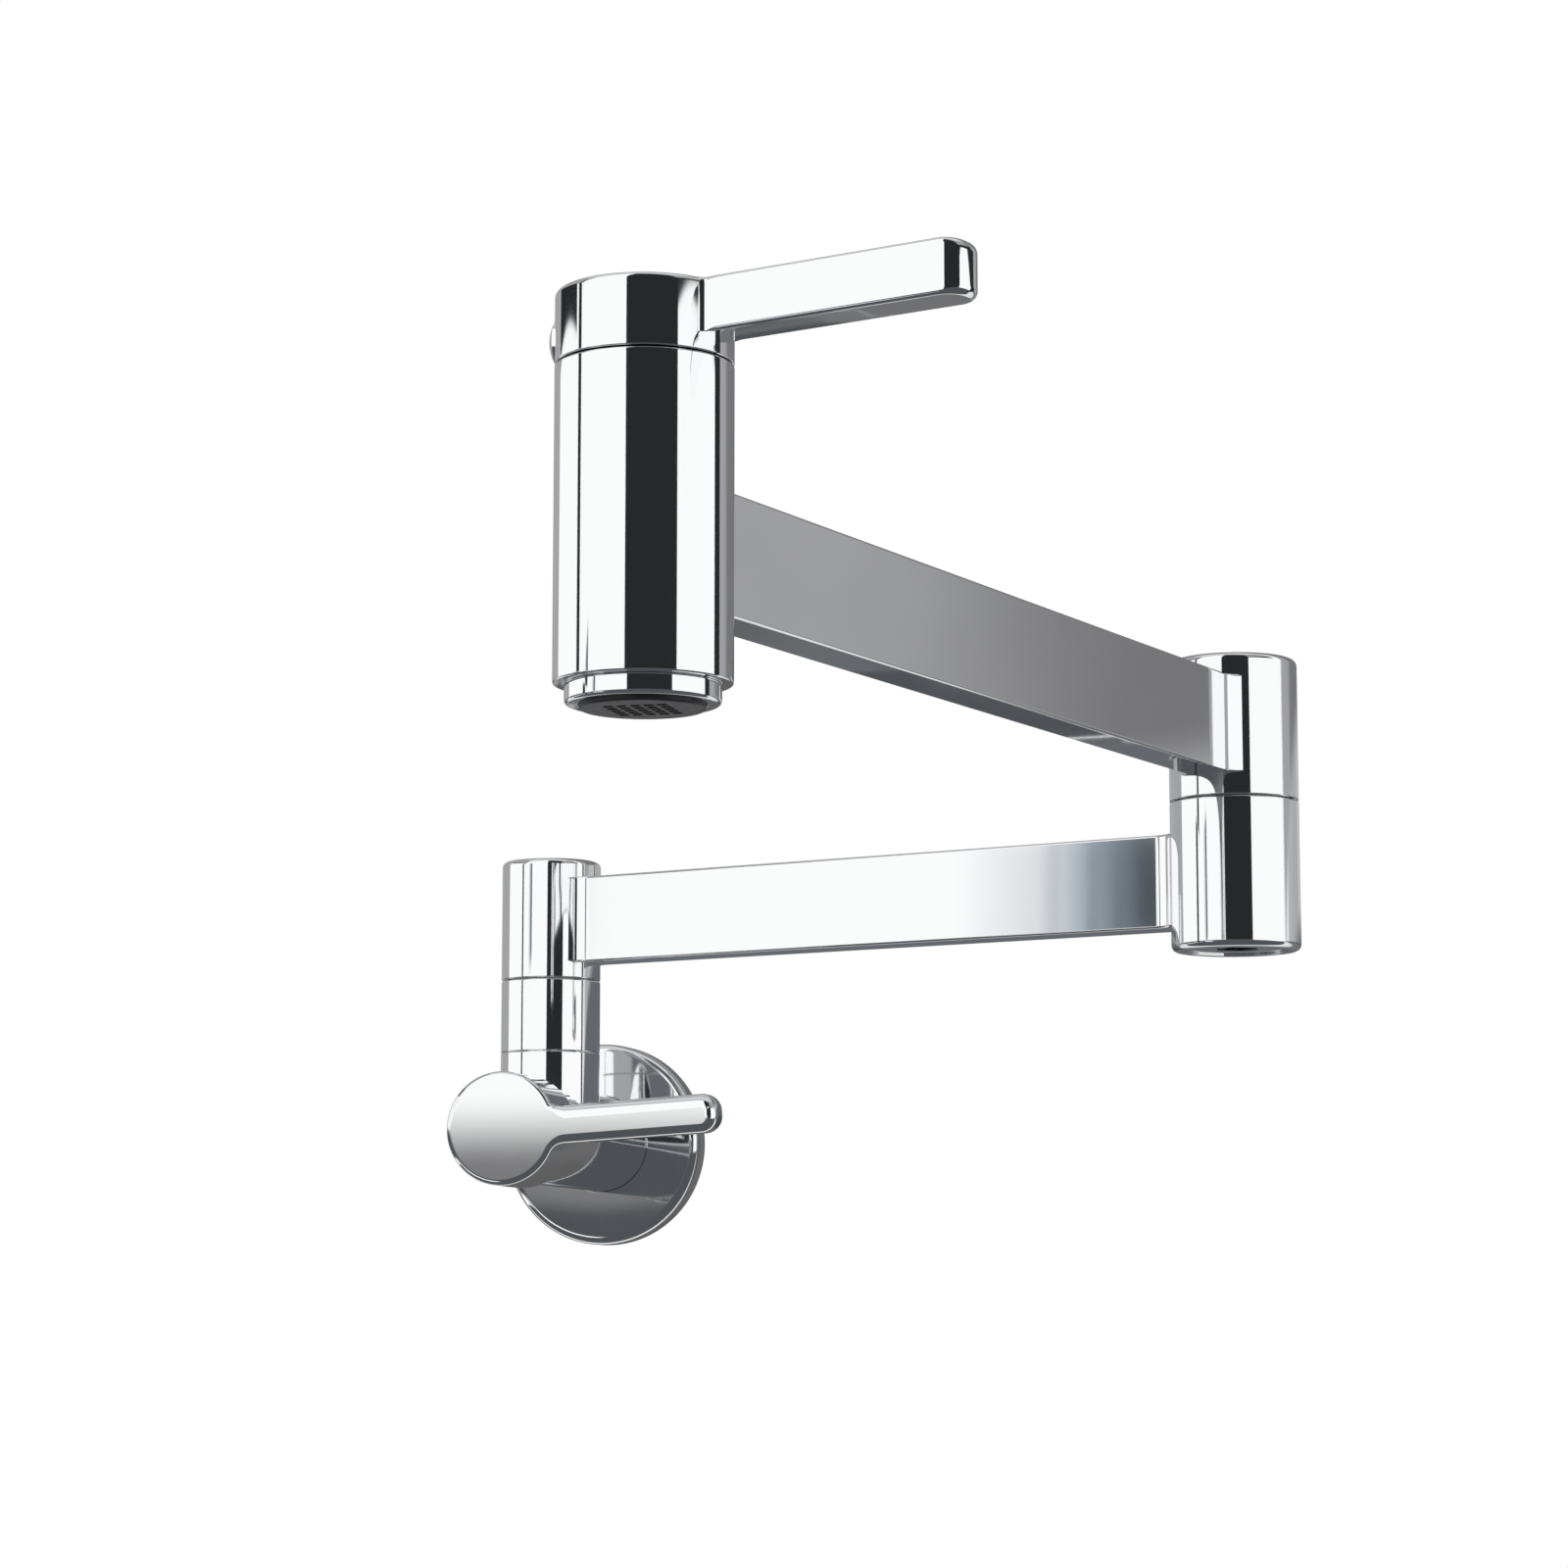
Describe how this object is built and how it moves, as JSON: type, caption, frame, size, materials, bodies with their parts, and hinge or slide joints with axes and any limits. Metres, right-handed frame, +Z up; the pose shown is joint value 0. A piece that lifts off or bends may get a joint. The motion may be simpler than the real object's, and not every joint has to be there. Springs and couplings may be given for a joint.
{
  "type": "wall-mounted folding tap",
  "caption": "Folding wall tap: a round wall plate and valve, two swinging flat arms on round posts, and a spout with its own lever valve.",
  "frame": {"origin": "centre of the inlet thread's mouth, in the plane of the wall", "axes": "+Z up, +X to the right of a person who faces the wall, the tap stands out along -Y and the inlet opens along +Y"},
  "size_m": [0.2415, 0.4142, 0.1701],
  "materials": {
    "chrome": "polished",
    "brass": "machined",
    "steel": "plain",
    "rubber": "satin",
    "foam": "matt",
    "ceramic": "polished",
    "bush": "matt",
    "dark_plastic": "satin"
  },
  "bodies": {
    "wall_valve": {"wall_flange": "chrome", "flange_gasket": "foam", "flange_oring": "rubber", "valve_body": "chrome", "inlet_strainer": "steel", "wall_seat_seal": "rubber", "wall_cartridge_body": "brass", "wall_fixed_disc": "ceramic", "wall_cartridge_oring": "rubber", "swivel_collar": "chrome", "shoulder_spindle": "brass", "shoulder_orings": "rubber", "shoulder_bush": "bush", "shoulder_washer": "steel", "shoulder_nut": "brass"},
    "wall_handle": {"wall_lever": "chrome", "wall_lever_screw": "steel", "wall_stem": "brass", "wall_stem_oring": "rubber", "wall_stem_clip": "steel", "wall_moving_disc": "ceramic"},
    "lower_arm": {"shoulder_sleeve": "chrome", "shoulder_cap": "chrome", "lower_arm_bar": "chrome", "elbow_lower_sleeve": "chrome", "elbow_base_plug": "chrome", "elbow_spindle": "brass", "elbow_orings": "rubber", "elbow_bush": "bush", "elbow_washer": "steel", "elbow_nut": "brass"},
    "upper_arm": {"elbow_upper_sleeve": "chrome", "elbow_cap": "chrome", "upper_arm_bar": "chrome", "spout_body": "chrome", "spout_seat_seal": "rubber", "spout_cartridge_body": "brass", "spout_fixed_disc": "ceramic", "spout_cartridge_oring": "rubber", "aerator_washer": "rubber", "aerator_housing": "chrome", "aerator_insert": "dark_plastic"},
    "spout_handle": {"spout_lever": "chrome", "spout_lever_screw": "steel", "spout_lever_button": "chrome", "spout_stem": "brass", "spout_stem_oring": "rubber", "spout_stem_clip": "steel", "spout_moving_disc": "ceramic"}
  },
  "joints": [
    {"name": "wall_lever_turn", "type": "hinge", "parent": "wall_valve", "child": "wall_handle", "pos_m": [0, -0.086, 0], "axis": [0, 1, 0], "range_deg": [0, 90]},
    {"name": "shoulder_swivel", "type": "hinge", "parent": "wall_valve", "child": "lower_arm", "pos_m": [0, -0.056, 0.0582], "axis": [0, 0, 1], "range_deg": [-163, 17]},
    {"name": "elbow_swivel", "type": "hinge", "parent": "lower_arm", "child": "upper_arm", "pos_m": [0.197, -0.11623, 0.095], "axis": [0, 0, 1], "range_deg": [-87, 263]},
    {"name": "spout_lever_turn", "type": "hinge", "parent": "upper_arm", "child": "spout_handle", "pos_m": [0.12401, -0.38862, 0.134], "axis": [0, 0, 1], "range_deg": [-90, 0]}
  ]
}
